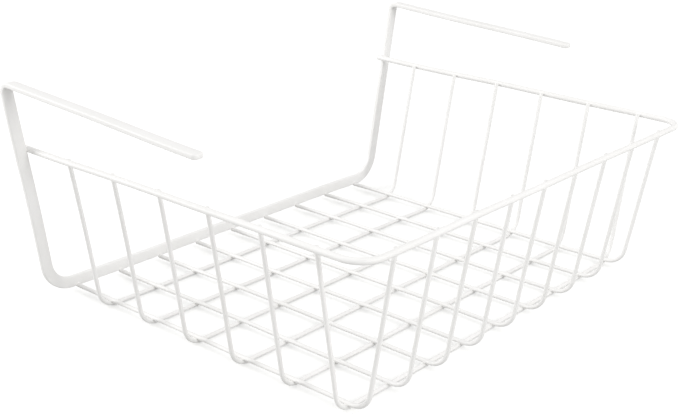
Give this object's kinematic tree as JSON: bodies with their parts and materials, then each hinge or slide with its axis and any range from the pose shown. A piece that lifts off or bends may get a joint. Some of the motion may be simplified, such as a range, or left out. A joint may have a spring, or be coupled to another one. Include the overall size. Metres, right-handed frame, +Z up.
{
  "type": "under shelf basket",
  "caption": "White wire basket that hangs below a shelf: flat arms slide over the board, with an open front, leaning wire walls and a round rim.",
  "frame": {"origin": "centre of the outline, on the level that the cross wires stand on", "axes": "+X across the basket, +Y from the open front to the rear wall, the way the arms point, +Z up"},
  "size_m": [0.3882, 0.2754, 0.1525],
  "materials": {
    "white_powder_coat": "satin white powder coat"
  },
  "bodies": {
    "root": {"hanger_strap": "white_powder_coat", "rim_wire": "white_powder_coat", "cross_wire_1": "white_powder_coat", "cross_wire_2": "white_powder_coat", "cross_wire_3": "white_powder_coat", "cross_wire_4": "white_powder_coat", "cross_wire_5": "white_powder_coat", "cross_wire_6": "white_powder_coat", "long_wire_1": "white_powder_coat", "long_wire_2": "white_powder_coat", "long_wire_3": "white_powder_coat", "long_wire_4": "white_powder_coat", "long_wire_5": "white_powder_coat", "long_wire_6": "white_powder_coat", "long_wire_7": "white_powder_coat", "long_wire_8": "white_powder_coat", "long_wire_9": "white_powder_coat"}
  },
  "joints": []
}
